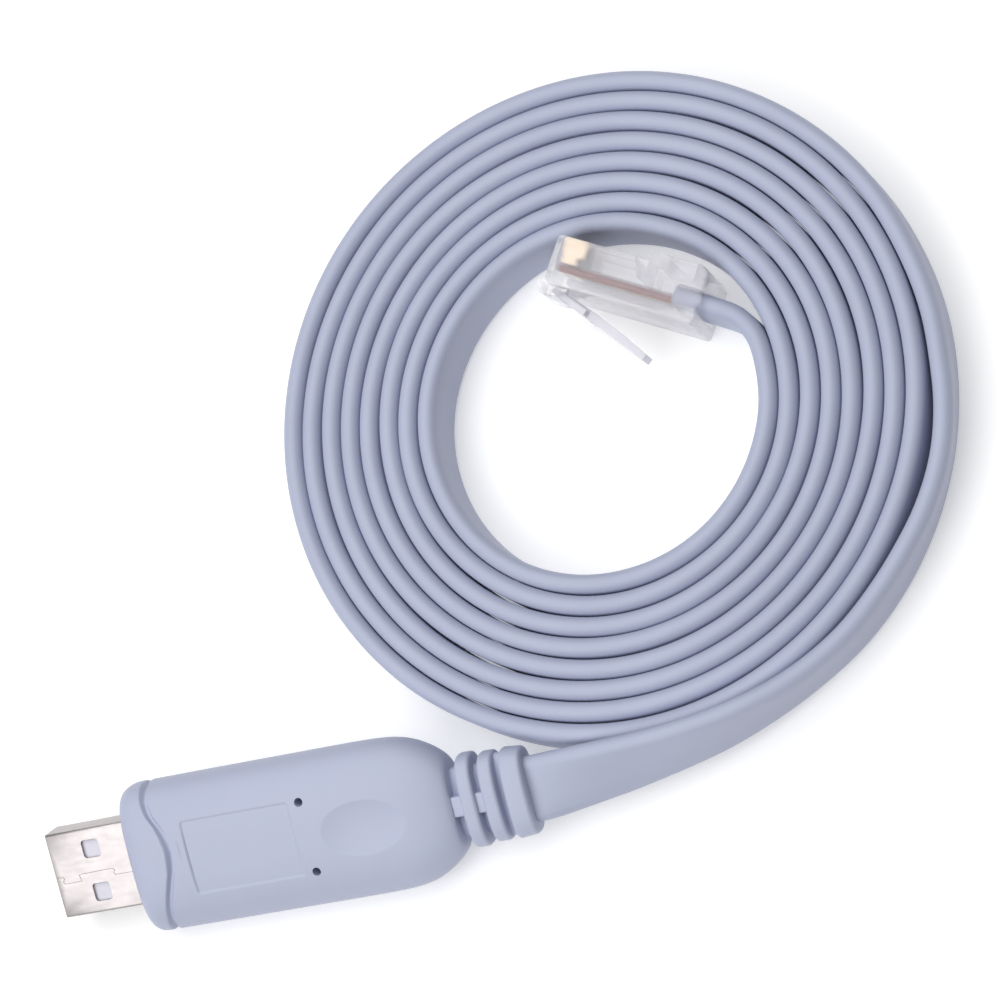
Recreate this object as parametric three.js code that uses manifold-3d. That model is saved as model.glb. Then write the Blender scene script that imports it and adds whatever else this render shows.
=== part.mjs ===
// A flat console cable: a USB plug in a moulded housing, a flat cord wound in a spiral, and a modular plug.
// Millimetres, +Z up. The cord lies on the ground at z = 0, and +X runs from the USB plug to the housing.
import * as THREE from 'three';
import { mergeVertices } from 'three/addons/utils/BufferGeometryUtils.js';
import Module from 'manifold-3d';

const wasm = await Module();
wasm.setup();

// USB plug
const SHELL_WIDTH = 12.0;
const SHELL_HEIGHT = 4.5;
const SHELL_WALL = 0.3;
const SHELL_CORNER = 0.35;
const SHELL_EXPOSED = 11.9;
const SHELL_BURIED = 2.7;
const WINDOW_SIZE = 2.6;
const WINDOW_X = 6.3;
const WINDOW_Y = 3.1;
const INSULATOR_GAP = 0.15;
const TONGUE_START = 0.4;
const CONTACT_WIDTH = 1.0;
const CONTACT_THICKNESS = 0.2;
const CONTACT_Y = [-3.5, -1.0, 1.0, 3.5];

// Housing, in distances from the USB plug's tip
const HOUSING_WIDTH = 20.9;
const HOUSING_HEIGHT = 10.2;
const HOUSING_ROLL = 24.2;
const NECK_X = 59.1;
const END_X = 70.0;
const GROOVE_X = 16.2;
const GROOVE_SWING = 2.6;
const GROOVE_DEPTH = 0.55;
const LAMP_RADIUS = 0.6;
const LAMP_X = 38.8;
const LAMP_Y = 4.87;
const PANEL = { x0: 21.2, x1: 37.2, halfWidth: 5.2, depth: 0.18, corner: 0.5 };
const DIMPLE = { x: 46.9, length: 12.0, width: 7.5, depth: 0.6 };

// Flat cord
const CORD_WIDTH = 9.05;
const CORD_THICKNESS = 2.64;
const JOINT_GAP = 0.3;
const COIL_X = 50.47;
const COIL_Y = 49.15;
const COIL_TURNS = 7;
const COIL_GROOVE = 1.1;
const COIL_STEPS = 64;
const TURN_PITCH = 2.84;
const FIRST_RADIUS = 46.11;
const SPIRAL_START = -9;

// Degrees of winding: the lead's share, the wound bundle, and the end of the tail's own turn
const BUNDLE_START = 60;
const BUNDLE_END = BUNDLE_START + 360 * COIL_TURNS;
const TAIL_END = 2880;

// Modular plug, lying on its side
const PLUG_NOSE_X = 47.37;
const PLUG_NOSE_Y = 69.18;
const PLUG_YAW = -26.97;
const PLUG_PITCH = 4.3;
const PLUG_LENGTH = 21.46;
const PLUG_WIDTH = 11.68;
const WAYS = 8;
const WAY_PITCH = 1.016;
const WIRE_RADIUS = 0.45;
const BLADE_THICKNESS = 0.3;

// Cord route from the strain relief to the coil: x, y, z, roll of the flat section in degrees
const LEAD_ROUTE = [
  [35.5, 0.0, 6.8, 25],
  [39.0, 0.3, 6.8, 35],
  [43.0, 0.7, 6.9, 44],
  [47.0, 1.1, 7.0, 52],
  [51.0, 1.6, 7.1, 60],
  [55.5, 2.3, 7.1, 67],
  [60.0, 3.25, 6.95, 73],
  [64.6, 4.6, 6.7, 80],
  [69.1, 6.4, 6.1, 86],
  [73.75, 8.85, 5.4, 90],
  [79.15, 12.45, 4.85, 91.5],
  [83.9, 16.8, 4.6, 92],
  [88.1, 21.7, 4.6, 94],
  [91.7, 27.2, 4.55, 98],
  [94.4, 33.2, 4.55, 100],
  [96.0, 39.5, 4.55, 98],
  [96.6, 45.9, 4.55, 94],
  [96.4, 53.2, 4.55, 92],
  [94.8, 61.0, 4.55, 90],
];

// Cord route from the coil's innermost turn up into the modular plug
const TAIL_ROUTE = [
  [73.65, 51.2, 4.7, 90],
  [72.9, 54.6, 4.95, 90],
  [71.0, 57.3, 5.25, 90],
  [68.3, 59.0, 5.55, 90],
  [66.6, 59.9, 5.75, 90],
  [63.85, 61.25, 6.05, 90],
];

// A point of the spiral after so many degrees of winding, closing in by one pitch a turn
function winding(turned) {
  const radius = FIRST_RADIUS - TURN_PITCH * turned / 360;
  const angle = THREE.MathUtils.degToRad(SPIRAL_START + turned);
  return [COIL_X + radius * Math.cos(angle), COIL_Y + radius * Math.sin(angle), CORD_WIDTH / 2 + 0.01, 90];
}

const material = (color, roughness, metalness, opacity = 1) =>
  new THREE.MeshStandardMaterial({ color, roughness, metalness, opacity, transparent: opacity < 1 });
const JACKET = material(0xabb1c6, 0.5, 0);
const MOULDING = material(0xa7adc3, 0.55, 0);
const STEEL = material(0xd8d4d0, 0.3, 1);
const INSULATOR = material(0xe6e4ee, 0.5, 0);
const GOLD = material(0xe6c27a, 0.25, 1);
const CLEAR = material(0xe8e8ee, 0.15, 0, 0.4);
const WIRE_COLOURS = [0x3f6fae, 0xd98a3a, 0x2b2b2e, 0xb8423a, 0x3f8a55, 0xd8c04a, 0x9a5a4e, 0xe0e0e0];

// A closed geometry becomes a solid that can be cut and joined, and a solid becomes a geometry again
function toSolid(geometry) {
  const bare = geometry.clone();
  for (const name of Object.keys(bare.attributes)) if (name !== 'position') bare.deleteAttribute(name);
  const merged = mergeVertices(bare, 1e-4);
  const vertProperties = new Float32Array(merged.attributes.position.array);
  const triVerts = new Uint32Array(merged.index.array);
  return new wasm.Manifold(new wasm.Mesh({ numProp: 3, vertProperties, triVerts }));
}

function toGeometry(solid) {
  const mesh = solid.getMesh();
  const geometry = new THREE.BufferGeometry();
  geometry.setAttribute('position', new THREE.BufferAttribute(new Float32Array(mesh.vertProperties), 3));
  geometry.setIndex(new THREE.BufferAttribute(new Uint32Array(mesh.triVerts), 1));
  geometry.computeVertexNormals();
  return geometry;
}

// A box given by its two opposite corners
function block(x0, y0, z0, x1, y1, z1) {
  const geometry = new THREE.BoxGeometry(x1 - x0, y1 - y0, z1 - z0);
  geometry.translate((x0 + x1) / 2, (y0 + y1) / 2, (z0 + z1) / 2);
  return geometry;
}

function roundedRectangle(halfX, halfY, radius, steps = 3) {
  const points = [];
  for (let corner = 0; corner < 4; corner++) {
    const sx = corner === 0 || corner === 3 ? 1 : -1;
    const sy = corner < 2 ? 1 : -1;
    for (let i = 0; i <= steps; i++) {
      const angle = (corner + i / steps) * Math.PI / 2;
      const x = sx * (halfX - radius) + radius * Math.cos(angle);
      points.push(new THREE.Vector2(x, sy * (halfY - radius) + radius * Math.sin(angle)));
    }
  }
  return points;
}

// A flat shape in x and y, raised from z0 to z1
function slab(points, z0, z1) {
  const settings = { depth: z1 - z0, bevelEnabled: false };
  const geometry = new THREE.ExtrudeGeometry(new THREE.Shape(points), settings);
  geometry.translate(0, 0, z0);
  return geometry;
}

// A shape given in y and z, run along x
function bar(points, x0, x1) {
  const settings = { depth: x1 - x0, bevelEnabled: false };
  const geometry = new THREE.ExtrudeGeometry(new THREE.Shape(points), settings);
  geometry.applyMatrix4(new THREE.Matrix4().set(0, 0, 1, x0, 1, 0, 0, 0, 0, 1, 0, 0, 0, 0, 0, 1));
  return geometry;
}

// Superellipse sections along x: a station is [x, half width, half height, share of the groove's swing]
function loft(stations, sides, exponent) {
  const geometry = new THREE.CylinderGeometry(1, 1, stations.length - 1, sides, stations.length - 1);
  const position = geometry.attributes.position;
  const swell = (value) => Math.sign(value) * Math.abs(value) ** (2 / exponent);
  for (let i = 0; i < position.count; i++) {
    const station = stations[Math.round((stations.length - 1) / 2 - position.getY(i))];
    const px = position.getX(i);
    const pz = position.getZ(i);
    const length = Math.hypot(px, pz);
    const y = length < 1e-6 ? 0 : station[1] * swell(px / length);
    const z = length < 1e-6 ? 0 : station[2] * swell(pz / length);
    const away = THREE.MathUtils.smoothstep(Math.abs(y * 10 / station[1] - 0.9), 1.5, 8.5);
    position.setXYZ(i, station[0] + (station[3] ?? 0) * GROOVE_SWING * (1 - away), y, z);
  }
  return geometry;
}

const halfW = HOUSING_WIDTH / 2;
const halfH = HOUSING_HEIGHT / 2;
function housingStations(inset) {
  const at = (x, narrower, lower, swing = 0) => [x, halfW - narrower - inset, halfH - lower - inset, swing];
  const front = (x, ...rest) => at(SHELL_EXPOSED + x, ...rest);
  const groove = (x, cut = 0) => at(GROOVE_X + x, cut, cut, 1);
  const rear = (x, ...rest) => at(NECK_X - x, ...rest);
  return [
    front(inset, 2.65, 2.1),
    front(0.2 + inset, 2.05, 1.6),
    front(0.5 + inset, 1.45, 1.1),
    front(1.0, 0.85, 0.5),
    front(1.7, 0.35, 0.15, 0.1),
    front(2.5, 0.07, 0.02, 0.25),
    groove(-0.75),
    groove(-0.45, 0.08),
    groove(-0.2, GROOVE_DEPTH),
    groove(0.2, GROOVE_DEPTH),
    groove(0.45, 0.08),
    groove(0.75),
    at(GROOVE_X + 3.2, 0, 0, 0.55),
    at(GROOVE_X + 6.5, 0, 0),
    rear(29, 0, 0),
    rear(21, 0, 0),
    rear(14.1, 0, 0),
    rear(10.1, 0.07, 0.02),
    rear(7.6, 0.25, 0.08),
    rear(5.6, 0.65, 0.2),
    rear(4.1, 1.2, 0.4),
    rear(2.8, 1.9, 0.65),
    rear(1.7, 2.65, 0.95),
    rear(0.8, 3.45, 1.3),
    rear(0.3, 4.05, 1.6),
    rear(0, 4.65, 1.95),
  ];
}

// Each rib is [start, end, half width, half height], and the core runs between the ribs
const RIBS = [
  [60.45, 62.55, 6.4, 3.45],
  [63.5, 65.4, 6.1, 3.25],
  [66.55, END_X, 6.2, 3.15],
];
const BRIDGE_WIDTH = 2.8;
const CORE = [4.9, 2.2];
const SHALLOW = [5.5, 2.75];
function reliefStations() {
  const list = [[NECK_X - 3, ...CORE]];
  RIBS.forEach(([start, end, w, h], i) => {
    const before = i === 2 ? SHALLOW : CORE;
    list.push([start - 0.02, ...before], [start, w - 0.35, h - 0.35], [start + 0.3, w, h]);
    list.push([end - 0.3, i === 2 ? w - 0.35 : w, h], [end, (i === 2 ? w - 0.35 : w) - 0.35, h - 0.35]);
    if (i < 2) list.push([end + 0.02, ...(i === 1 ? SHALLOW : CORE)]);
  });
  return list;
}

function makeHousing() {
  const body = toSolid(loft(housingStations(0), 40, 2.5));
  const skinless = toSolid(loft(housingStations(PANEL.depth), 40, 2.5));
  const relief = toSolid(loft(reliefStations(), 32, 2.8));
  const middle = (PANEL.x0 + PANEL.x1) / 2;
  const halfLength = (PANEL.x1 - PANEL.x0) / 2;
  const panel = roundedRectangle(halfLength, PANEL.halfWidth, PANEL.corner);
  const outer = slab(panel, 1, 8).translate(middle, 0, 0);
  let solid = body.subtract(toSolid(outer).subtract(skinless));
  solid = solid.add(relief);
  const bridges = [[NECK_X - 0.6, RIBS[0][0] + 0.3, 2.95], [RIBS[0][1] - 0.3, RIBS[1][0] + 0.3, 2.8]];
  for (const top of [1, -1]) {
    for (const [x0, x1, high] of bridges) {
      const [z0, z1] = top > 0 ? [1, high] : [-high, -1];
      solid = solid.add(toSolid(block(x0, -BRIDGE_WIDTH / 2, z0, x1, BRIDGE_WIDTH / 2, z1)));
    }
  }
  const dimple = new THREE.SphereGeometry(1, 28, 14);
  const rise = 3;
  const across = Math.sqrt(1 - (rise / (rise + DIMPLE.depth)) ** 2);
  dimple.scale(DIMPLE.length / 2 / across, DIMPLE.width / 2 / across, rise + DIMPLE.depth);
  dimple.translate(DIMPLE.x, 0, halfH + rise);
  solid = solid.subtract(toSolid(dimple));
  for (const side of [1, -1]) {
    const lamp = new THREE.CylinderGeometry(LAMP_RADIUS, LAMP_RADIUS, 6, 12);
    lamp.rotateX(Math.PI / 2).translate(LAMP_X, side * LAMP_Y, halfH + 1.4);
    solid = solid.subtract(toSolid(lamp));
  }
  const room = [SHELL_WIDTH / 2 + JOINT_GAP, SHELL_HEIGHT / 2 + JOINT_GAP, SHELL_CORNER + JOINT_GAP];
  const pocket = bar(roundedRectangle(...room), SHELL_EXPOSED - 1, SHELL_EXPOSED + SHELL_BURIED + JOINT_GAP);
  solid = solid.subtract(toSolid(pocket));
  return toGeometry(solid);
}

function makeShell() {
  const length = SHELL_EXPOSED + SHELL_BURIED;
  const outer = bar(roundedRectangle(SHELL_WIDTH / 2, SHELL_HEIGHT / 2, SHELL_CORNER), 0, length);
  const hollow = [SHELL_WIDTH / 2 - SHELL_WALL, SHELL_HEIGHT / 2 - SHELL_WALL, SHELL_CORNER / 3];
  const inner = bar(roundedRectangle(...hollow), -1, length + 1);
  let solid = toSolid(outer).subtract(toSolid(inner));
  for (const y of [WINDOW_Y, -WINDOW_Y]) {
    const opening = slab(roundedRectangle(WINDOW_SIZE / 2, WINDOW_SIZE / 2, 0.5), -4, 4);
    solid = solid.subtract(toSolid(opening.translate(WINDOW_X, y, 0)));
  }
  return toGeometry(solid);
}

function makeInsulator() {
  const halfY = SHELL_WIDTH / 2 - SHELL_WALL - INSULATOR_GAP;
  const top = SHELL_HEIGHT / 2 - SHELL_WALL - INSULATOR_GAP;
  const end = SHELL_EXPOSED + SHELL_BURIED;
  const tongue = [[TONGUE_START, 0.05], [SHELL_EXPOSED, 0.05], [SHELL_EXPOSED, -top]];
  const profile = [...tongue, [end, -top], [end, top], [TONGUE_START, top]];
  const shape = new THREE.Shape(profile.map(([x, z]) => new THREE.Vector2(x, z)));
  const geometry = new THREE.ExtrudeGeometry(shape, { depth: 2 * halfY, bevelEnabled: false });
  return geometry.rotateX(Math.PI / 2).translate(0, halfY, 0);
}

// A flat section with round edges swept along a route, turned about it by the roll given at each point
function flatCord(route, steps) {
  const round = CORD_THICKNESS / 2;
  const reach = CORD_WIDTH / 2 - round;
  const section = [];
  for (const side of [1, -1]) {
    for (let i = 0; i < 5; i++) {
      const angle = -Math.PI / 2 + i * Math.PI / 4;
      const across = side * (reach + round * Math.cos(angle));
      section.push(new THREE.Vector2(across, side * round * Math.sin(angle)));
    }
  }
  const settings = { depth: 1, steps, bevelEnabled: false };
  const geometry = new THREE.ExtrudeGeometry(new THREE.Shape(section), settings);
  const points = route.map(([x, y, z]) => new THREE.Vector3(x, y, z));
  const curve = new THREE.CatmullRomCurve3(points, false, 'centripetal');
  const up = new THREE.Vector3(0, 0, 1);
  const position = geometry.attributes.position;
  for (let i = 0; i < position.count; i++) {
    const t = position.getZ(i);
    const point = curve.getPoint(t);
    const tangent = curve.getTangent(t);
    const left = up.clone().cross(tangent).normalize();
    const normal = tangent.clone().cross(left);
    const place = Math.min(t * (route.length - 1), route.length - 1.000001);
    const index = Math.floor(place);
    const degrees = THREE.MathUtils.lerp(route[index][3], route[index + 1][3], place - index);
    const roll = THREE.MathUtils.degToRad(degrees);
    const wide = left.clone().multiplyScalar(Math.cos(roll)).addScaledVector(normal, Math.sin(roll));
    const thin = tangent.clone().cross(wide);
    point.addScaledVector(wide, position.getX(i)).addScaledVector(thin, position.getY(i));
    position.setXYZ(i, point.x, point.y, point.z);
  }
  return geometry;
}

// The wound turns as one body: a row of turns run once round the coil, closing in by one turn on the way
function makeCoil() {
  const high = [];
  for (let turn = 0; turn < COIL_TURNS; turn++) {
    const middle = -turn * TURN_PITCH;
    const edge = turn === 0 ? CORD_THICKNESS / 2 : TURN_PITCH / 2;
    high.push([middle + edge, CORD_WIDTH - COIL_GROOVE], [middle + 0.2 * TURN_PITCH, CORD_WIDTH]);
    high.push([middle - 0.2 * TURN_PITCH, CORD_WIDTH]);
  }
  high.push([(1 - COIL_TURNS) * TURN_PITCH - CORD_THICKNESS / 2, CORD_WIDTH - COIL_GROOVE]);
  const low = high.map(([radius, z]) => [radius, CORD_WIDTH - z]);
  const outline = [...low, ...high.reverse()].map(([radius, z]) => new THREE.Vector2(radius, z));
  const settings = { depth: 1, steps: COIL_STEPS, bevelEnabled: false };
  const geometry = new THREE.ExtrudeGeometry(new THREE.Shape(outline), settings);
  const innermost = FIRST_RADIUS - TURN_PITCH * COIL_TURNS;
  const sweep = 360 - THREE.MathUtils.radToDeg(JOINT_GAP / innermost);
  const position = geometry.attributes.position;
  for (let i = 0; i < position.count; i++) {
    const turned = BUNDLE_START + sweep * (1 - position.getZ(i));
    const radius = FIRST_RADIUS - TURN_PITCH * turned / 360 + position.getX(i);
    const angle = THREE.MathUtils.degToRad(SPIRAL_START + turned);
    position.setXYZ(i, radius * Math.cos(angle), radius * Math.sin(angle), position.getY(i));
  }
  return geometry;
}

// The spiral from one winding angle to another, both included, as route points
function spiral(from, to, step) {
  const count = Math.round((to - from) / step);
  return Array.from({ length: count + 1 }, (_, i) => winding(THREE.MathUtils.lerp(from, to, i / count)));
}

// The modular plug stands in its own frame: x from nose to cord, y towards the contacts, z across the ways
function makePlug() {
  const half = PLUG_WIDTH / 2;
  const toPoint = ([x, y]) => new THREE.Vector2(x, y);
  const latchSide = [[0, -2.3], [0.6, -2.95], [PLUG_LENGTH - 0.36, -2.95], [PLUG_LENGTH, -2.6]];
  const shoulder = [[PLUG_LENGTH, 4.1], [PLUG_LENGTH - 0.86, 4.97], [14.0, 4.97], [13.4, 3.75]];
  const outline = [...latchSide, ...shoulder, [0.4, 3.75], [0, 3.4]].map(toPoint);
  let solid = toSolid(slab(outline, -half, half));
  const root = [[-1.5, -2.6], [-1.5, -3.4], [-0.6, -4.0], [2.2, -4.0], [2.2, -2.6]].map(toPoint);
  solid = solid.add(toSolid(slab(root, -3.1, 3.1)));
  const side = [[0, 0], [7.2, 0], [16.4, 0], [16.4, 0.55], [7.2, 1.05], [0, 0.9]].map(toPoint);
  const base = [[0, 0], [7.2, 0], [7.2, 1.05], [0, 0.9]].map(toPoint);
  for (const piece of [slab(side, -1.65, 1.65), slab(base, -3.1, 3.1)]) {
    piece.rotateZ(THREE.MathUtils.degToRad(-18)).translate(0.3, -4.0, 0);
    solid = solid.add(toSolid(piece));
  }
  const room = CORD_WIDTH / 2 + JOINT_GAP;
  solid = solid.subtract(toSolid(block(17.9, -1.35, -room, 23, 1.95, room)));
  solid = solid.subtract(toSolid(block(0.7, -0.95, -4.25, 18.5, 0.4, 4.25)));
  solid = solid.subtract(toSolid(block(15.2, 2.7, -3.2, 19.2, 6, 3.2)));
  for (let way = 0; way < WAYS; way++) {
    const z = (way - (WAYS - 1) / 2) * WAY_PITCH;
    solid = solid.subtract(toSolid(block(0.5, 0.2, z - 0.3, 4.2, 5, z + 0.3)));
  }
  return toGeometry(solid);
}

function makeBlade() {
  const outline = [
    [0.7, 3.75], [0.7, 2.1], [1.0, 1.8], [1.0, 0.45], [3.1, 0.45], [3.1, 1.4], [3.9, 1.7], [3.9, 3.75],
  ].map(([x, y]) => new THREE.Vector2(x, y));
  return slab(outline, -BLADE_THICKNESS / 2, BLADE_THICKNESS / 2);
}

function makeWire() {
  const wire = new THREE.CylinderGeometry(WIRE_RADIUS, WIRE_RADIUS, 16.9, 8);
  return wire.rotateZ(Math.PI / 2).translate(9.45, -0.28, 0);
}

const cable = new THREE.Group();
function add(parent, name, geometry, look) {
  const mesh = new THREE.Mesh(geometry, look);
  mesh.name = name;
  parent.add(mesh);
  return mesh;
}

const head = new THREE.Group();
head.rotation.x = THREE.MathUtils.degToRad(HOUSING_ROLL);
add(head, 'usb_shell', makeShell(), STEEL);
add(head, 'usb_insulator', makeInsulator(), INSULATOR);
CONTACT_Y.forEach((y, i) => {
  const half = CONTACT_WIDTH / 2;
  const [start, end, top] = [TONGUE_START + 1, SHELL_EXPOSED - 0.3, -0.05];
  const strip = block(start, y - half, top - CONTACT_THICKNESS, end, y + half, top);
  add(head, `usb_contact_${i + 1}`, strip, GOLD);
});
add(head, 'housing', makeHousing(), MOULDING);
head.updateMatrixWorld(true);
const extent = new THREE.Box3().setFromObject(head, true);
head.position.set(-(extent.min.x + extent.max.x) / 2, -(extent.min.y + extent.max.y) / 2, -extent.min.z);
cable.add(head);

const coil = add(cable, 'cable_coil', makeCoil(), JACKET);
coil.position.set(COIL_X, COIL_Y, 0);
const gapTurn = THREE.MathUtils.radToDeg(JOINT_GAP / FIRST_RADIUS);
const gapTurnInside = THREE.MathUtils.radToDeg(JOINT_GAP / (FIRST_RADIUS - COIL_TURNS * TURN_PITCH));
const leadRoute = [...LEAD_ROUTE, ...spiral(36, BUNDLE_START - gapTurn, 12)];
const tailRoute = [...spiral(BUNDLE_END + gapTurnInside, TAIL_END, 12), ...TAIL_ROUTE];
add(cable, 'cable_lead', flatCord(leadRoute, 2 * leadRoute.length), JACKET);
add(cable, 'cable_tail', flatCord(tailRoute, 2 * tailRoute.length), JACKET);

const plug = new THREE.Group();
const pitch = THREE.MathUtils.degToRad(PLUG_PITCH);
const noseHeight = (PLUG_WIDTH / 2) * Math.cos(pitch) + PLUG_LENGTH * Math.sin(pitch) + 0.01;
plug.position.set(PLUG_NOSE_X, PLUG_NOSE_Y, noseHeight);
plug.rotation.set(0, pitch, THREE.MathUtils.degToRad(PLUG_YAW), 'ZYX');
add(plug, 'modular_plug', makePlug(), CLEAR);
for (let way = 0; way < WAYS; way++) {
  const z = (way - (WAYS - 1) / 2) * WAY_PITCH;
  add(plug, `plug_blade_${way + 1}`, makeBlade(), GOLD).position.z = z;
  add(plug, `plug_wire_${way + 1}`, makeWire(), material(WIRE_COLOURS[way], 0.5, 0)).position.z = z;
}
cable.add(plug);

export default cable;
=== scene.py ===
# A flat console cable on a pale floor: a USB plug in a moulded housing, a flat cord wound in a spiral and
# a clear modular plug.
# Route points and the pieces' own sizes are in millimetres; every object is made in metres.
import math
import bpy
import numpy as np
from mathutils import Matrix, Vector


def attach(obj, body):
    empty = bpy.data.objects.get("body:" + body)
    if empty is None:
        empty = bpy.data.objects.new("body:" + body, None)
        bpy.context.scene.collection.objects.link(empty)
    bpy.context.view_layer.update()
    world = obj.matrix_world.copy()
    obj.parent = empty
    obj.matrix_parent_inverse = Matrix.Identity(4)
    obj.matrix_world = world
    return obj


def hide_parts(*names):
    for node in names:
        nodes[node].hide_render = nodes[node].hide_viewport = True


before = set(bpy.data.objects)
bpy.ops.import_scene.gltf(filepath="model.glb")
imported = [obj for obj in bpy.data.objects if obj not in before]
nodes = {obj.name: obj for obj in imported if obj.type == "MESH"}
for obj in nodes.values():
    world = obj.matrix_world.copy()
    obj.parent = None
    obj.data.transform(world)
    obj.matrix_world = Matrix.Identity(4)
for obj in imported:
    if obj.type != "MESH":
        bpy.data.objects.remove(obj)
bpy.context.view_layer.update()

MM = 0.001
scene = bpy.context.scene


# Camera
right = Vector((0.92852, -0.10935, -0.35482)).normalized()
back = Vector((0.31863, -0.25589, 0.91268)).normalized()
up = back.cross(right).normalized()
right = up.cross(back)
camera_data = bpy.data.cameras.new("camera")
camera_data.sensor_width = 36.0
camera_data.lens = 129.6
camera_data.clip_start, camera_data.clip_end = 0.01, 20
camera = bpy.data.objects.new("camera", camera_data)
camera.matrix_world = Matrix.Translation(Vector((188.798, -84.265, 448.391)) * MM) @ Matrix(
    (right, up, back)).transposed().to_4x4()
scene.collection.objects.link(camera)
scene.camera = camera


# Materials
def shader(name, colour, roughness, metallic=0.0, **values):
    """A principled material; values are set on the sockets of the same name, with _ for spaces."""
    made = bpy.data.materials.new(name)
    made.use_nodes = True
    bsdf = made.node_tree.nodes["Principled BSDF"]
    bsdf.inputs["Base Color"].default_value = (*colour, 1)
    bsdf.inputs["Roughness"].default_value = roughness
    bsdf.inputs["Metallic"].default_value = metallic
    for key, value in values.items():
        bsdf.inputs[key.replace("_", " ")].default_value = value
    return made, bsdf


def link(made, a, b):
    made.node_tree.links.new(a, b)


def add_node(made, kind, **inputs):
    node = made.node_tree.nodes.new(kind)
    for key, value in inputs.items():
        node.inputs[key].default_value = value
    return node


def mottle(made, bsdf, dark, light, scale, detail=4.0):
    """Slow colour drift over the surface, from a noise between two colours."""
    coords = add_node(made, "ShaderNodeTexCoord")
    noise = add_node(made, "ShaderNodeTexNoise", Scale=scale, Detail=detail, Roughness=0.6)
    ramp = add_node(made, "ShaderNodeValToRGB")
    ramp.color_ramp.elements[0].position, ramp.color_ramp.elements[1].position = 0.3, 0.7
    ramp.color_ramp.elements[0].color, ramp.color_ramp.elements[1].color = (*dark, 1), (*light, 1)
    link(made, coords.outputs["Object"], noise.inputs["Vector"])
    link(made, noise.outputs["Fac"], ramp.inputs["Fac"])
    link(made, ramp.outputs["Color"], bsdf.inputs["Base Color"])
    return coords


def grain(made, bsdf, coords, scale, strength, distance, stretch=(1, 1, 1)):
    """A fine bump from noise, stretched along an axis for drawn or brushed surfaces."""
    mapping = add_node(made, "ShaderNodeMapping", Scale=stretch)
    noise = add_node(made, "ShaderNodeTexNoise", Scale=scale, Detail=3.0, Roughness=0.55)
    bump = add_node(made, "ShaderNodeBump", Strength=strength, Distance=distance)
    link(made, coords.outputs["Object"], mapping.inputs["Vector"])
    link(made, mapping.outputs["Vector"], noise.inputs["Vector"])
    link(made, noise.outputs["Fac"], bump.inputs["Height"])
    link(made, bump.outputs["Normal"], bsdf.inputs["Normal"])
    return noise


def span(made, bsdf, source, socket, low, high):
    """Lets a noise move one value of the shader between low and high."""
    limits = {"From Min": 0.3, "From Max": 0.7, "To Min": low, "To Max": high}
    ramp = add_node(made, "ShaderNodeMapRange", **limits)
    link(made, source.outputs["Fac"], ramp.inputs["Value"])
    link(made, ramp.outputs["Result"], bsdf.inputs[socket])


def make_jacket():
    made, bsdf = shader("jacket_pvc", (0.42, 0.46, 0.60), 0.5)
    coords = mottle(made, bsdf, (0.405, 0.437, 0.570), (0.432, 0.466, 0.600), 60)
    noise = grain(made, bsdf, coords, 2600, 0.05, 0.00004)
    span(made, bsdf, noise, "Roughness", 0.48, 0.55)
    return made


def make_moulding():
    made, bsdf = shader("housing_moulding", (0.42, 0.46, 0.60), 0.5)
    coords = mottle(made, bsdf, (0.428, 0.461, 0.597), (0.448, 0.482, 0.620), 45)
    noise = grain(made, bsdf, coords, 3600, 0.10, 0.00005)
    span(made, bsdf, noise, "Roughness", 0.47, 0.55)
    return made


def make_steel():
    made, bsdf = shader("shell_nickel", (0.40, 0.375, 0.375), 0.38, 1.0)
    coords = mottle(made, bsdf, (0.435, 0.405, 0.405), (0.47, 0.44, 0.44), 900)
    noise = grain(made, bsdf, coords, 1600, 0.10, 0.00003, (0.25, 1, 1))
    span(made, bsdf, noise, "Roughness", 0.34, 0.42)
    return made


def make_gold():
    made, bsdf = shader("contact_gold_plate", (0.90, 0.70, 0.38), 0.22, 1.0)
    coords = mottle(made, bsdf, (0.62, 0.50, 0.34), (0.70, 0.58, 0.42), 900)
    grain(made, bsdf, coords, 2400, 0.06, 0.00002)
    return made


def make_clear():
    made, bsdf = shader("clear_polycarbonate", (0.94, 0.93, 0.98), 0.05,
                        Transmission_Weight=0.80, IOR=1.42, Alpha=0.64)
    coords = mottle(made, bsdf, (0.92, 0.91, 0.97), (0.97, 0.96, 0.99), 300)
    grain(made, bsdf, coords, 700, 0.10, 0.00008)
    return made


def make_latch():
    made, bsdf = shader("milky_polycarbonate", (0.88, 0.87, 0.94), 0.2,
                        Transmission_Weight=0.35, IOR=1.42, Alpha=0.9)
    coords = mottle(made, bsdf, (0.85, 0.84, 0.92), (0.91, 0.90, 0.96), 300)
    grain(made, bsdf, coords, 700, 0.08, 0.00006)
    return made


def make_insulator():
    made, bsdf = shader("insulator_white", (0.74, 0.73, 0.80), 0.42)
    coords = mottle(made, bsdf, (0.65, 0.64, 0.73), (0.70, 0.69, 0.77), 400)
    grain(made, bsdf, coords, 2600, 0.06, 0.00003)
    return made


def make_wire(name, colour):
    made, bsdf = shader("wire_" + name, colour, 0.38)
    coords = mottle(made, bsdf, [c * 0.9 for c in colour], [min(1.0, c * 1.12) for c in colour], 500)
    grain(made, bsdf, coords, 2500, 0.06, 0.00002)
    return made


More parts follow.
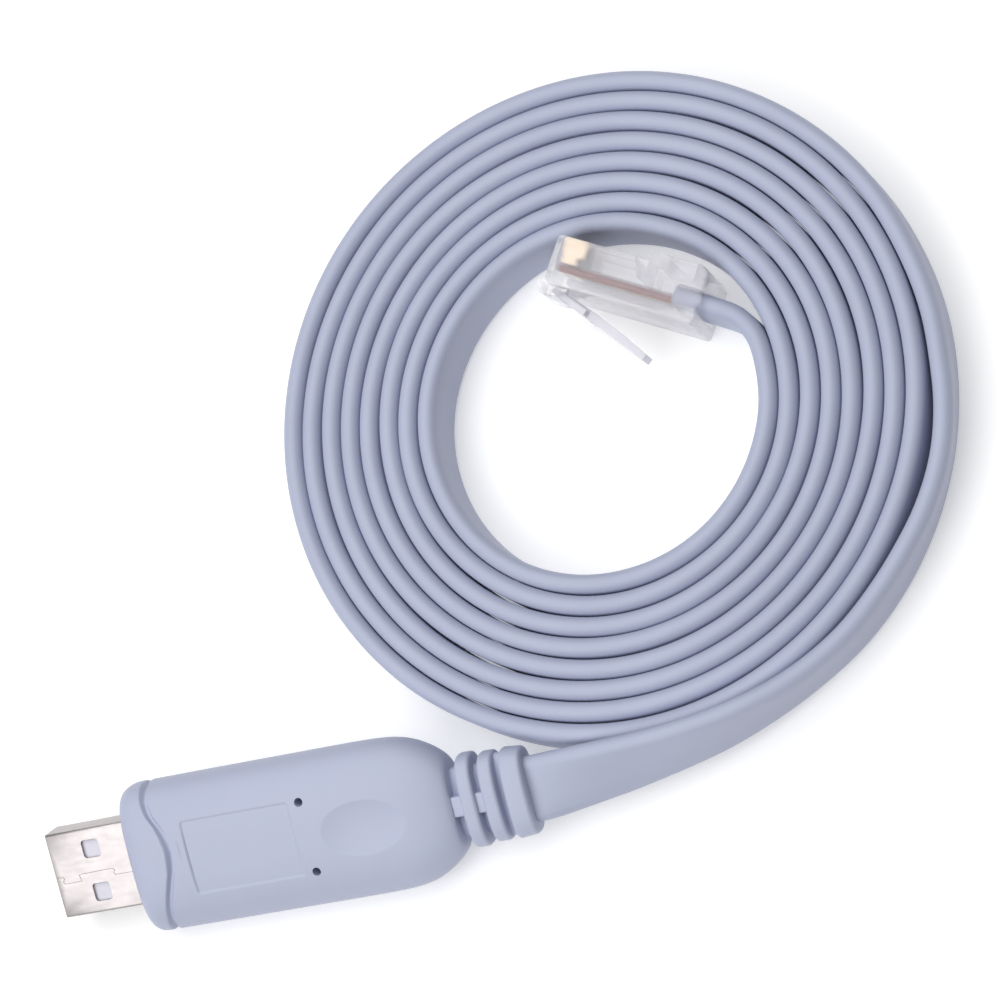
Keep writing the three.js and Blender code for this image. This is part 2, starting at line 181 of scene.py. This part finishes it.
JACKET, MOULDING, STEEL, GOLD = make_jacket(), make_moulding(), make_steel(), make_gold()
CLEAR, LATCH, INSULATOR = make_clear(), make_latch(), make_insulator()
WIRE_COLOURS = {
    1: ("grey", (0.50, 0.50, 0.52)), 2: ("blue", (0.08, 0.20, 0.52)), 3: ("yellow", (0.78, 0.64, 0.12)),
    4: ("green", (0.07, 0.36, 0.15)), 5: ("red", (0.55, 0.07, 0.06)), 6: ("black", (0.03, 0.03, 0.035)),
    7: ("orange", (0.78, 0.33, 0.07)), 8: ("brown", (0.24, 0.06, 0.05)),
}


# Mesh helpers
def make_object(name, points, faces, material, smooth=None):
    """points in metres; faces as lists of indices; edges below the angle smooth, in degrees, are soft."""
    mesh = bpy.data.meshes.new(name)
    mesh.from_pydata([tuple(map(float, p)) for p in points], [], [tuple(map(int, f)) for f in faces])
    mesh.validate()
    mesh.update()
    made = bpy.data.objects.new(name, mesh)
    scene.collection.objects.link(made)
    mesh.materials.append(material)
    if smooth is not None:
        soften(made, smooth)
    return made


def soften(made, angle):
    mesh = made.data
    mesh.polygons.foreach_set("use_smooth", [True] * len(mesh.polygons))
    mesh.set_sharp_from_angle(angle=math.radians(angle))
    mesh.update()


def bake(made):
    """Applies every modifier, with no operator."""
    graph = bpy.context.evaluated_depsgraph_get()
    mesh = bpy.data.meshes.new_from_object(made.evaluated_get(graph))
    made.modifiers.clear()
    old = made.data
    made.data = mesh
    bpy.data.meshes.remove(old)
    return made


def cut(made, cutters, operation="DIFFERENCE"):
    for cutter in cutters:
        modifier = made.modifiers.new("cut", "BOOLEAN")
        modifier.object, modifier.operation, modifier.solver = cutter, operation, "EXACT"
    bpy.context.view_layer.update()
    bake(made)
    for cutter in cutters:
        bpy.data.objects.remove(cutter)
    return made


def bevel(made, width, segments=2, angle=35):
    modifier = made.modifiers.new("bevel", "BEVEL")
    modifier.width, modifier.segments, modifier.limit_method = width * MM, segments, "ANGLE"
    modifier.angle_limit = math.radians(angle)
    modifier.harden_normals = False
    bpy.context.view_layer.update()
    return bake(made)


def grid_faces(rings, sides, caps=True):
    """Quads between closed rings of points, with flat end caps."""
    faces = []
    for i in range(rings - 1):
        for j in range(sides):
            k = (j + 1) % sides
            faces.append((i * sides + j, i * sides + k, (i + 1) * sides + k, (i + 1) * sides + j))
    if caps:
        faces.append(tuple(range(sides - 1, -1, -1)))
        faces.append(tuple((rings - 1) * sides + j for j in range(sides)))
    return faces


def prism(name, outline, low, high, axes="xyz", material=None):
    """A flat outline run from low to high; axes says which axis each number of a point is, the run last."""
    order = ["xyz".index(a) for a in axes]
    points = []
    for value in (low, high):
        for a, b in outline:
            point = [0, 0, 0]
            point[order[0]], point[order[1]], point[order[2]] = a, b, value
            points.append([c * MM for c in point])
    made = make_object(name, points, grid_faces(2, len(outline)), material or CLEAR)
    outward(made)
    return made


def outward(made):
    """Turns the faces outward if the enclosed volume is negative."""
    mesh = made.data
    mesh.calc_loop_triangles()
    volume = sum(mesh.vertices[t.vertices[0]].co.dot(
        mesh.vertices[t.vertices[1]].co.cross(mesh.vertices[t.vertices[2]].co)) for t in mesh.loop_triangles)
    if volume < 0:
        mesh.flip_normals()


def rounded(half_x, half_y, radius, steps=5, centre=(0, 0)):
    points = []
    for corner in range(4):
        sx = 1 if corner in (0, 3) else -1
        sy = 1 if corner < 2 else -1
        for i in range(steps + 1):
            angle = (corner + i / steps) * math.pi / 2
            points.append((centre[0] + sx * (half_x - radius) + radius * math.cos(angle),
                           centre[1] + sy * (half_y - radius) + radius * math.sin(angle)))
    return points


def smoothstep(x, low, high):
    t = np.clip((np.asarray(x, float) - low) / (high - low), 0, 1)
    return t * t * (3 - 2 * t)


def place(made, matrix):
    """Moves a piece's own mesh, so that its object stays at the origin."""
    made.data.transform(matrix)
    made.data.update()
    return made


# Where the two ends lie
HEAD_X, HEAD_HEIGHT, HEAD_ROLL = -35.0, 6.77185, math.radians(24.2)
HEAD = Matrix.Translation(Vector((HEAD_X, 0, HEAD_HEIGHT)) * MM) @ Matrix.Rotation(HEAD_ROLL, 4, "X")
PLUG_LENGTH, PLUG_HALF = 21.46, 5.84
PLUG_X, PLUG_Y = 47.37, 69.18
PITCH, YAW = math.radians(4.3), math.radians(-26.97)
FLOOR_GAP = 0.01
NOSE_HEIGHT = PLUG_HALF * math.cos(PITCH) + PLUG_LENGTH * math.sin(PITCH) + FLOOR_GAP
PLUG = (Matrix.Translation(Vector((PLUG_X, PLUG_Y, NOSE_HEIGHT)) * MM)
        @ Matrix.Rotation(YAW, 4, "Z") @ Matrix.Rotation(PITCH, 4, "Y"))


# Cord
CORD_WIDTH, CORD_THICKNESS = 9.05, 2.64
COIL = (50.47, 49.15)
TURN_PITCH, FIRST_RADIUS, SPIRAL_START = 2.84, 46.11, -9.0
TURN_HEIGHT, ON_EDGE = 4.54, 90
SPIRAL_FROM, SPIRAL_TO, SPIRAL_STEP = 36, 2880, 12
LEAD = [
    (34.3, 0.0, 6.77, 24.2), (35.5, 0.0, 6.8, 25), (39.0, 0.3, 6.8, 35), (43.0, 0.7, 6.9, 44),
    (47.0, 1.1, 7.0, 52), (51.0, 1.6, 7.1, 60), (55.5, 2.3, 7.1, 67), (60.0, 3.25, 6.95, 73),
    (64.6, 4.6, 6.7, 80), (69.1, 6.4, 6.1, 86), (73.75, 8.85, 5.4, 90), (79.15, 12.45, 4.85, 91.5),
    (83.9, 16.8, 4.6, 92), (88.1, 21.7, 4.6, 94), (91.7, 27.2, 4.55, 98), (94.4, 33.2, 4.55, 100),
    (96.0, 39.5, 4.55, 98), (96.6, 45.9, 4.55, 94),
    (96.4, 53.2, 4.55, 92), (94.8, 61.0, 4.55, 90),
]
TAIL = [
    (73.65, 51.2, 4.7, 90), (72.9, 54.6, 4.95, 90), (71.0, 57.3, 5.25, 90), (68.3, 59.0, 5.55, 90),
    (66.6, 59.9, 5.75, 90), (63.85, 61.25, 6.05, 90), (63.2, 61.58, 6.1, 90),
]


def spiral(turned):
    """A point of the spiral after so many degrees of winding, with a little slack between the turns."""
    radius = FIRST_RADIUS - TURN_PITCH * turned / 360
    wound = math.radians(turned)
    radius += 0.04 * math.sin(wound * 2.63 + 1.0) + 0.03 * math.sin(wound * 5.37)
    angle = math.radians(turned + SPIRAL_START)
    return (COIL[0] + radius * math.cos(angle), COIL[1] + radius * math.sin(angle), TURN_HEIGHT, ON_EDGE)


def catmull(points, step):
    """A centripetal curve through the points, as [x, y, z, roll] rows about step mm apart."""
    p = np.array(points, float)
    p = np.vstack([2 * p[0] - p[1], p, 2 * p[-1] - p[-2]])
    rows = []
    for i in range(1, len(p) - 2):
        a, b, c, d = p[i - 1:i + 3]
        t1 = np.linalg.norm((b - a)[:3]) ** 0.5
        t2 = t1 + np.linalg.norm((c - b)[:3]) ** 0.5
        t3 = t2 + np.linalg.norm((d - c)[:3]) ** 0.5
        count = max(1, int(round(np.linalg.norm((c - b)[:3]) / step)))
        for t in t1 + (t2 - t1) * np.arange(count) / count:
            ab = a * (t1 - t) / t1 + b * t / t1
            bc = b * (t2 - t) / (t2 - t1) + c * (t - t1) / (t2 - t1)
            cd = c * (t3 - t) / (t3 - t2) + d * (t - t2) / (t3 - t2)
            abc = ab * (t2 - t) / t2 + bc * t / t2
            bcd = bc * (t3 - t) / (t3 - t1) + cd * (t - t1) / (t3 - t1)
            rows.append(abc * (t2 - t) / (t2 - t1) + bcd * (t - t1) / (t2 - t1))
    rows.append(p[-2])
    return np.array(rows)


route = LEAD + [spiral(t) for t in range(SPIRAL_FROM, SPIRAL_TO + 1, SPIRAL_STEP)] + TAIL
line = catmull(route, 1.2)


def cord_section(steps=9, flats=3):
    """A flat oval: two flats and two half-round edges, as (across the width, across the thickness)."""
    edge_radius = CORD_THICKNESS / 2
    reach = CORD_WIDTH / 2 - edge_radius
    points = []
    for side in (1, -1):
        for i in range(steps):
            angle = -math.pi / 2 + math.pi * i / (steps - 1)
            wide = reach + edge_radius * math.cos(angle)
            points.append((side * wide, side * edge_radius * math.sin(angle)))
        for i in range(1, flats + 1):
            points.append((side * (reach - 2 * reach * i / (flats + 1)), side * edge_radius))
    return np.array(points)


def sweep(name, rows, section, material):
    """Carries the section along rows of x, y, z and roll; at roll 0 it lies flat."""
    centre, roll = rows[:, :3], np.radians(rows[:, 3])
    tangent = np.gradient(centre, axis=0)
    tangent /= np.linalg.norm(tangent, axis=1)[:, None]
    left = np.cross([0, 0, 1], tangent)
    left /= np.linalg.norm(left, axis=1)[:, None]
    normal = np.cross(tangent, left)
    wide = left * np.cos(roll)[:, None] + normal * np.sin(roll)[:, None]
    thin = np.cross(tangent, wide)
    across, through = section[None, :, :1], section[None, :, 1:]
    points = (centre[:, None] + wide[:, None] * across + thin[:, None] * through).reshape(-1, 3)
    made = make_object(name, points * MM, grid_faces(len(rows), len(section)), material, 40)
    outward(made)
    return made


cord = sweep("cord", line, cord_section(), JACKET)
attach(cord, "root")
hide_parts("cable_coil", "cable_lead", "cable_tail")


SHELL_WIDTH, SHELL_HEIGHT, SHELL_END, SHELL_WALL, SHELL_ROOM = 12.0, 4.5, 14.6, 0.3, 0.05


# Housing, in its own frame: x from the USB plug's tip, y across, z up
# SIDE holds x, half the width and half the height; GROOVE holds y on the full width and x of the groove
SIDE = [(11.9, 8.2, 3.2), (12.05, 8.85, 3.7), (12.3, 9.35, 4.15), (12.7, 9.8, 4.6), (13.3, 10.15, 4.95),
        (14.1, 10.4, 5.08), (15.2, 10.45, 5.1), (45.0, 10.45, 5.1), (49.0, 10.38, 5.08), (51.5, 10.2, 5.02),
        (53.5, 9.8, 4.9), (55.0, 9.25, 4.7), (56.3, 8.55, 4.45), (57.4, 7.8, 4.15), (58.3, 7.0, 3.8),
        (58.8, 6.4, 3.5), (59.1, 5.8, 3.15)]
GROOVE = [(-10.5, 15.55), (-8.9, 15.9), (-6.5, 16.6), (-3.2, 17.85), (-1.5, 18.45), (0.1, 18.73),
          (1.4, 18.85), (2.6, 18.71), (4.7, 18.14), (6.9, 17.0), (9.1, 16.44), (10.5, 16.4)]
GROOVE_BASE, GROOVE_DEPTH = 16.2, 0.75
PANEL = {"x0": 21.2, "x1": 37.2, "half": 5.2, "corner": 0.5, "depth": 0.16}
DIMPLE = {"x": 46.9, "length": 12.0, "width": 7.5, "depth": 0.6}
LAMPS = [(38.8, 4.87), (38.8, -4.87)]
LAMP_RADIUS, LAMP_FLOOR = 0.6, 1.8
HALF_WIDTH, BODY_SWELL, RELIEF_SWELL = 10.45, 2.5, 2.8


def curve_through(table, x):
    """Values read from a table by a smooth curve with no overshoot (monotone cubic)."""
    t = np.array(table, float)
    xs, ys = t[:, 0], t[:, 1:]
    h = np.diff(xs)
    slope = np.diff(ys, axis=0) / h[:, None]
    m = np.zeros_like(ys)
    same = slope[:-1] * slope[1:] > 0
    w1, w2 = (2 * h[1:] + h[:-1])[:, None], (h[1:] + 2 * h[:-1])[:, None]
    with np.errstate(divide="ignore", invalid="ignore"):
        m[1:-1] = np.where(same, (w1 + w2) / (w1 / slope[:-1] + w2 / slope[1:]), 0)
    m[0], m[-1] = slope[0], slope[-1]
    x = np.clip(np.asarray(x, float), xs[0], xs[-1])
    i = np.clip(np.searchsorted(xs, x, side="right") - 1, 0, len(h) - 1)
    s = ((x - xs[i]) / h[i])[..., None]
    k = h[i][..., None]
    return (ys[i] * (2 * s**3 - 3 * s**2 + 1) + m[i] * k * (s**3 - 2 * s**2 + s)
            + ys[i + 1] * (-2 * s**3 + 3 * s**2) + m[i + 1] * k * (s**3 - s**2))


def swell(value, exponent):
    return np.sign(value) * np.abs(value) ** (2 / exponent)


def spread(knots):
    """Numbers from knots of (value, step up to the next knot)."""
    values = []
    for (a, step), (b, _) in zip(knots, knots[1:]):
        values.extend(np.linspace(a, b, max(2, int(round((b - a) / step)) + 1))[:-1])
    return np.array(values + [knots[-1][0]])


def make_housing():
    """The body on a fine grid, with groove, recess and dimple, then the holes and the plug's pocket."""
    along = spread([(11.9, 0.05), (13.0, 0.12), (15.2, 0.07), (17.2, 0.25), (21.0, 0.11), (37.6, 0.09),
                    (39.8, 0.2), (41.0, 0.25), (53.0, 0.18), (59.1, 0.1)])
    # Directions round the section, closest together where the panel, the dimple and the two holes are
    top_y = spread([(-9.6, 0.3), (-6.0, 0.12), (6.0, 0.3), (9.6, 1)])
    top = np.arccos(np.clip(swell(top_y[::-1] / HALF_WIDTH, 4 / BODY_SWELL), -1, 1))
    full = 2 * math.pi
    far_side = np.linspace(top[-1], full - top[-1], 25)[1:-1]
    underside = np.linspace(math.pi + top[0], full - top[0], 60)
    near_side = np.linspace(full - top[0], full + top[0], 25)[1:-1]
    turn = np.concatenate([top, far_side, underside, near_side])
    sides = len(turn)
    size = curve_through(SIDE, along)
    c, s = swell(np.cos(turn), BODY_SWELL), swell(np.sin(turn), BODY_SWELL)
    groove_at = curve_through(GROOVE, HALF_WIDTH * c)[:, 0]
    u = along[:, None] * np.ones((1, sides))
    shift = (groove_at - GROOVE_BASE)[None] * (1 - smoothstep(np.abs(u - GROOVE_BASE), 1.0, 4.6))
    x = u + shift
    y = size[:, :1] * c[None]
    z = size[:, 1:] * s[None]
    # The groove: a soft slope from the collar and a steep wall on the body's side
    d = u - GROOVE_BASE
    dip = GROOVE_DEPTH * smoothstep(d, -0.9, -0.05) * (1 - smoothstep(d, 0.08, 0.38))
    scale = 1 - dip / np.hypot(y, z)
    y, z = y * scale, z * scale
    # The label panel's shallow recess, with a flatter floor than the body
    middle, reach, corner = (PANEL["x0"] + PANEL["x1"]) / 2, (PANEL["x1"] - PANEL["x0"]) / 2, PANEL["corner"]
    past_x = np.maximum(np.abs(x - middle) - reach + corner, 0)
    past_y = np.maximum(np.abs(y) - PANEL["half"] + corner, 0)
    inside = np.hypot(past_x, past_y) - corner
    recess = (1 - smoothstep(inside, -0.26, 0.04)) * (PANEL["depth"] + 0.10 * (1 - (y / PANEL["half"]) ** 2))
    # The finger dimple
    r2 = ((x - DIMPLE["x"]) / (DIMPLE["length"] / 2)) ** 2 + (y / (DIMPLE["width"] / 2)) ** 2
    hollow = DIMPLE["depth"] * np.clip(1 - r2, 0, None) ** 0.9
    z = np.where(z > 1, z - recess - hollow, z)
    points = np.stack([x, y, z], -1).reshape(-1, 3) * MM
    body = make_object("housing_body", points, grid_faces(len(along), sides), MOULDING)
    outward(body)
    holes = []
    for i, (lx, ly) in enumerate(LAMPS):
        ring = [(lx + LAMP_RADIUS * math.cos(a), ly + LAMP_RADIUS * math.sin(a))
                for a in np.linspace(0, full, 33)[:-1]]
        holes.append(prism(f"hole_{i}", ring, LAMP_FLOOR, 8))
    pocket = rounded(SHELL_WIDTH / 2 + SHELL_ROOM, SHELL_HEIGHT / 2 + SHELL_ROOM, 0.4)
    holes.append(prism("pocket", pocket, 10.6, SHELL_END + 0.3, "yzx"))
    cut(body, holes)
    soften(body, 38)
    return body


# Ribs as start, end, half the width and half the height; bridges as start, end and height
RIBS = [(60.45, 62.55, 6.4, 3.45), (63.5, 65.6, 6.1, 3.25), (66.55, 69.5, 6.2, 3.15)]
RIB_ROUND, LAST_TAPER = 0.5, 0.3
BRIDGES = [(58.4, 60.9, 2.95), (62.2, 63.9, 2.8)]


def make_relief():
    """The strain relief: a core, three rounded ribs and the bridges between them, as one solid."""
    sides = 96
    turn = np.linspace(0, 2 * math.pi, sides + 1)[:-1]
    c, s = swell(np.cos(turn), RELIEF_SWELL), swell(np.sin(turn), RELIEF_SWELL)

    def tube(name, stations):
        points = [(x, w * c[j], h * s[j]) for x, w, h in stations for j in range(sides)]
        made = make_object(name, np.array(points) * MM, grid_faces(len(stations), sides), MOULDING)
        outward(made)
        return made

    core = tube("strain_relief", [(57.0, 4.8, 1.5), (64.3, 4.8, 1.5), (64.7, 5.7, 1.5), (66.8, 5.7, 1.5),
                                  (67.2, 4.8, 1.5), (69.0, 4.8, 1.5)])
    parts = []
    for i, (start, end, w, h) in enumerate(RIBS):
        rounding = [math.pi / 2 * k / 6 for k in range(7)]
        stations = [(start + RIB_ROUND * (1 - math.cos(a)), -RIB_ROUND * (1 - math.sin(a))) for a in rounding]
        stations += [(end - RIB_ROUND + RIB_ROUND * math.sin(a), -RIB_ROUND * (1 - math.cos(a)))
                     for a in rounding]
        taper = (LAST_TAPER if i == len(RIBS) - 1 else 0.0) / (end - start)
        parts.append(tube(f"rib_{i}", [(x, w + d - taper * (x - start), h + d) for x, d in stations]))
    for i, (x0, x1, high) in enumerate(BRIDGES):
        parts.append(prism(f"bridge_{i}", rounded(1.4, high, 0.25, 3), x0, x1, "yzx"))
    cut(core, parts, "UNION")
    soften(core, 38)
    return core


housing = make_housing()
relief = make_relief()
for piece in (housing, relief):
    place(piece, HEAD)
    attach(piece, "root")
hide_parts("housing")
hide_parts("housing")


# USB plug's steel shell
WINDOW, WINDOW_X, WINDOW_Y = 2.6, 6.3, 3.1
SEAM = [(-0.25, -0.18), (1.09, -0.24), (1.21, -0.57), (0.95, -0.88), (1.18, -1.23), (3.72, -1.19),
        (3.54, -0.35), (4.01, -0.22), (8.65, -0.13), (8.94, -0.44), (8.68, -0.75), (8.86, -1.08),
        (12.5, -1.11)]


def thick_line(points, width):
    """The outline of a narrow band along a broken line, mitred at its corners."""
    p = np.array(points, float)
    d = np.diff(p, axis=0)
    d /= np.linalg.norm(d, axis=1)[:, None]
    n = np.stack([-d[:, 1], d[:, 0]], 1)
    m = np.vstack([n[:1], n[:-1] + n[1:], n[-1:]])
    m /= np.linalg.norm(m, axis=1)[:, None]
    m /= np.maximum(0.5, (m * np.vstack([n, n[-1:]])).sum(1))[:, None]
    return [tuple(q) for q in p + m * width / 2] + [tuple(q) for q in (p - m * width / 2)[::-1]]


def make_shell():
    """The folded steel shell, with its bore, its two windows on each side and its seam."""
    half_y, half_z = SHELL_WIDTH / 2, SHELL_HEIGHT / 2
    outer = prism("shell", rounded(half_y, half_z, 0.35, 6), 0, SHELL_END, "yzx", STEEL)
    bevel(outer, 0.08, 2, 60)
    bore = rounded(half_y - SHELL_WALL, half_z - SHELL_WALL, 0.12, 4)
    cutters = [prism("bore", bore, -1, SHELL_END + 1, "yzx")]
    for i, y in enumerate((WINDOW_Y, -WINDOW_Y)):
        cutters.append(prism(f"window_{i}", rounded(WINDOW / 2, WINDOW / 2, 0.5, 6, (WINDOW_X, y)), -4, 4))
    cutters.append(prism("seam", thick_line(SEAM, 0.07), 2.08, 3))
    cut(outer, cutters)
    soften(outer, 32)
    return outer


shell = place(make_shell(), HEAD)
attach(shell, "root")
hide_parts("usb_shell")

# Modular plug, in its own frame: x from the nose to the cord, y from the latch to the contacts, z across
PLUG_OUTLINE = [(0, -2.3), (0.6, -2.95), (21.1, -2.95), (PLUG_LENGTH, -2.6), (PLUG_LENGTH, 4.1),
                (20.6, 4.97), (14.0, 4.97), (13.4, 3.75), (0.4, 3.75), (0, 3.4)]
LATCH_ROOT = [(-1.5, -2.3), (-1.5, -3.4), (-0.6, -4.2), (1.6, -4.2), (3.4, -2.6), (3.4, -2.3)]
LEVER = [(0, 0.1), (5.5, 0.1), (5.6, 0), (6.3, 0), (6.4, 0.1), (15.6, 0.1), (15.6, 1.0), (12.0, 1.25),
         (6.4, 1.35), (0, 0.95)]
LEVER_FOOT = Vector((0.7, -3.7, 0))
LEVER_ANGLE = -19.5
LEDGE = 0.22
WAYS, WAY_PITCH = 8, 1.02


def box(name, x0, x1, y0, y1, half):
    return prism(name, [(x0, y0), (x1, y0), (x1, y1), (x0, y1)], -half, half)


def make_plug():
    """The clear body with its cavities, contact slots, side ledges and latch root, as one solid."""
    body = prism("plug_body", PLUG_OUTLINE, -PLUG_HALF, PLUG_HALF)
    root = prism("latch_root", LATCH_ROOT, -3.6, 3.6)
    bevel(body, 0.14, 2, 30)
    bevel(root, 0.3, 3, 30)
    cut(body, [root], "UNION")
    cutters = [
        prism("cord_mouth", rounded(1.65, CORD_WIDTH / 2 + 0.05, 1.2, 5, (0.3, 0)), 17.9, 23, "yzx"),
        box("wire_channel", 0.7, 18.5, -0.95, 0.4, 4.25),
        box("clamp_hole", 15.2, 19.2, 2.7, 6, 3.2),
        prism("clamp_wedge", [(10.6, 4.5), (11.9, 1.2), (12.9, 1.2), (12.9, 4.5)], -4.3, 4.3),
        prism("lower_hollow", [(3.0, -2.35), (17.0, -2.35), (18.6, -1.5), (3.0, -1.5)], -4.6, 4.6),
    ]
    for side in (1, -1):
        ledge = [(-2, -3.3), (23, -3.3), (23, -1.25), (-2, -1.25)]
        cutters.append(prism(f"ledge_{side}", ledge, side * (PLUG_HALF - LEDGE), side * (PLUG_HALF + 1)))
    for way in range(WAYS):
        z = (way - (WAYS - 1) / 2) * WAY_PITCH
        slot = [(0.5, 0.2), (4.2, 0.2), (4.2, 5), (0.5, 5)]
        cutters.append(prism(f"contact_slot_{way}", slot, z - 0.3, z + 0.3))
    cut(body, cutters)
    soften(body, 32)
    return body


def make_lever():
    """The latch's lever: broad at the root, narrow from the step on, with a small mark where it narrows."""
    lever = prism("plug_latch", LEVER, -1.65, 1.65, material=LATCH)
    broad = prism("latch_base", [(0, 0.1), (5.6, 0.1), (5.6, 0.95), (0, 0.9)], -3.1, 3.1, material=LATCH)
    cut(lever, [broad], "UNION")
    bevel(lever, 0.1, 2, 30)
    soften(lever, 35)
    tilt = Matrix.Rotation(math.radians(LEVER_ANGLE), 4, "Z")
    return place(lever, Matrix.Translation(LEVER_FOOT * MM) @ tilt)


for piece in (make_plug(), make_lever()):
    place(piece, PLUG)
    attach(piece, "root")
    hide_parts("modular_plug")

for name, node in nodes.items():
    look = None
    if name == "usb_insulator":
        look = INSULATOR
    elif name.startswith("usb_contact") or name.startswith("plug_blade"):
        look = GOLD
    elif name.startswith("plug_wire"):
        look = make_wire(*WIRE_COLOURS[int(name.rsplit("_", 1)[1])])
    if look:
        node.data.materials.clear()
        node.data.materials.append(look)

ends = ["plug_body", "plug_latch"]
ends += [f"plug_{kind}_{i}" for kind in ("blade", "wire") for i in range(1, WAYS + 1)]


# Floor, light and background
floor_look, floor_bsdf = shader("pale_floor", (0.80, 0.80, 0.80), 0.9)
floor_bsdf.inputs["Emission Color"].default_value = (1, 1, 1, 1)
floor_bsdf.inputs["Emission Strength"].default_value = 0.32
floor = make_object("floor", [(-3, -3, 0), (3, -3, 0), (3, 3, 0), (-3, 3, 0)], [(0, 1, 2, 3)], floor_look)

world = bpy.data.worlds.new("studio")
world.use_nodes = True
world.node_tree.nodes["Background"].inputs["Color"].default_value = (1, 1, 1, 1)
world.node_tree.nodes["Background"].inputs["Strength"].default_value = 0.15
scene.world = world
scene.view_settings.view_transform = "Standard"
scene.view_settings.look = "None"


def area_light(name, toward, distance, size, power, colour=(1, 1, 1)):
    data = bpy.data.lights.new(name, "AREA")
    data.shape, data.size, data.energy, data.color = "DISK", size, power, colour
    lamp = bpy.data.objects.new(name, data)
    aim = Vector((0.045, 0.03, 0.0))
    direction = Vector(toward).normalized()
    lamp.location = aim + direction * distance
    lamp.rotation_mode = "QUATERNION"
    lamp.rotation_quaternion = direction.to_track_quat("Z", "Y")
    scene.collection.objects.link(lamp)


area_light("overhead", (-0.10, 0.32, 1.0), 1.0, 1.3, 8.6)
area_light("front", (-0.42, -0.54, 0.80), 1.0, 0.9, 5.2)
